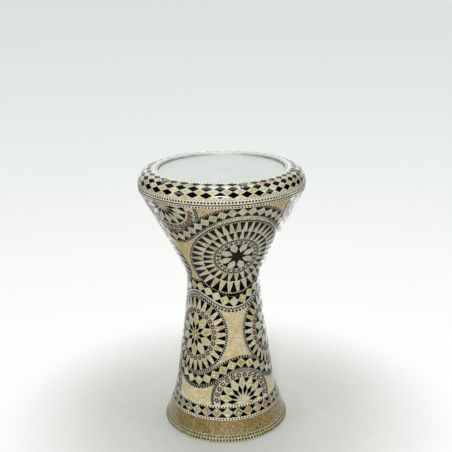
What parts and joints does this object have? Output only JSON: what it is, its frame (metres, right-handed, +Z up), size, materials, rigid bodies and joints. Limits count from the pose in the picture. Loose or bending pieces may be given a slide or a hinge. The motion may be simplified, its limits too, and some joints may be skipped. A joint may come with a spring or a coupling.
{
  "type": "goblet drum",
  "caption": "Goblet-shaped hand drum with a cast metal body, pearl inlay, flat head and a rounded rim drawn down by sunk bolts.",
  "frame": {"origin": "centre of the foot's resting plane", "axes": "+Z up through the head along the drum's axis; the front faces -Y"},
  "size_m": [0.2804, 0.2804, 0.4588],
  "materials": {
    "cast_aluminium": "sand-cast, dull",
    "ring_metal": "cast and polished",
    "head_film": "translucent white, satin",
    "hoop_metal": "satin",
    "chrome": "polished",
    "steel": "turned",
    "pearl": "mother-of-pearl under gloss lacquer",
    "tan_pearl": "crushed pearl in resin under gloss lacquer",
    "brown_pearl": "crushed pearl in brown resin under gloss lacquer",
    "dot_strip": "cream inlay with dark dots under gloss lacquer",
    "black_inlay": "black resin inlay under gloss lacquer"
  },
  "bodies": {
    "shell": {"shell_casting": "cast_aluminium", "drum_head": "head_film", "bowl_top_dot_strip": "dot_strip", "bowl_mosaic": "tan_pearl", "neck_mosaic": "tan_pearl", "foot_upper_dot_strip": "dot_strip", "foot_rhomb_band": "pearl", "foot_lower_dot_strip": "dot_strip", "foot_pearl_band": "brown_pearl", "foot_base_dot_strip": "dot_strip", "thread_insert_1": "steel", "thread_insert_2": "steel", "thread_insert_3": "steel", "thread_insert_4": "steel", "thread_insert_5": "steel", "thread_insert_6": "steel"},
    "ring": {"tension_ring": "ring_metal", "flesh_hoop": "hoop_metal", "rim_mosaic": "black_inlay", "rim_inner_dot_strip": "dot_strip", "rim_lower_dot_strip": "dot_strip", "bolt_washer_1": "chrome", "bolt_washer_2": "chrome", "bolt_washer_3": "chrome", "bolt_washer_4": "chrome", "bolt_washer_5": "chrome", "bolt_washer_6": "chrome"},
    "bolt_1": {"tuning_bolt_1": "chrome"},
    "bolt_2": {"tuning_bolt_2": "chrome"},
    "bolt_3": {"tuning_bolt_3": "chrome"},
    "bolt_4": {"tuning_bolt_4": "chrome"},
    "bolt_5": {"tuning_bolt_5": "chrome"},
    "bolt_6": {"tuning_bolt_6": "chrome"}
  },
  "joints": [
    {"name": "ring_draw", "type": "slide", "parent": "shell", "child": "ring", "axis": [0, 0, 1], "range_m": [-0.001, 0.004]},
    {"name": "bolt_1_turn", "type": "hinge", "parent": "ring", "child": "bolt_1", "pos_m": [0.03209, -0.11977, 0.449], "axis": [0, 0, 1], "range_deg": [-360, 1440]},
    {"name": "bolt_2_turn", "type": "hinge", "parent": "ring", "child": "bolt_2", "pos_m": [0.11977, -0.03209, 0.449], "axis": [0, 0, 1], "range_deg": [-360, 1440]},
    {"name": "bolt_3_turn", "type": "hinge", "parent": "ring", "child": "bolt_3", "pos_m": [0.08768, 0.08768, 0.449], "axis": [0, 0, 1], "range_deg": [-360, 1440]},
    {"name": "bolt_4_turn", "type": "hinge", "parent": "ring", "child": "bolt_4", "pos_m": [-0.03209, 0.11977, 0.449], "axis": [0, 0, 1], "range_deg": [-360, 1440]},
    {"name": "bolt_5_turn", "type": "hinge", "parent": "ring", "child": "bolt_5", "pos_m": [-0.11977, 0.03209, 0.449], "axis": [0, 0, 1], "range_deg": [-360, 1440]},
    {"name": "bolt_6_turn", "type": "hinge", "parent": "ring", "child": "bolt_6", "pos_m": [-0.08768, -0.08768, 0.449], "axis": [0, 0, 1], "range_deg": [-360, 1440]}
  ],
  "couplings": [
    {"joint": "bolt_1_turn", "follows": "ring_draw", "rad_per_m": 6283.2},
    {"joint": "bolt_2_turn", "follows": "ring_draw", "rad_per_m": 6283.2},
    {"joint": "bolt_3_turn", "follows": "ring_draw", "rad_per_m": 6283.2},
    {"joint": "bolt_4_turn", "follows": "ring_draw", "rad_per_m": 6283.2},
    {"joint": "bolt_5_turn", "follows": "ring_draw", "rad_per_m": 6283.2},
    {"joint": "bolt_6_turn", "follows": "ring_draw", "rad_per_m": 6283.2}
  ]
}
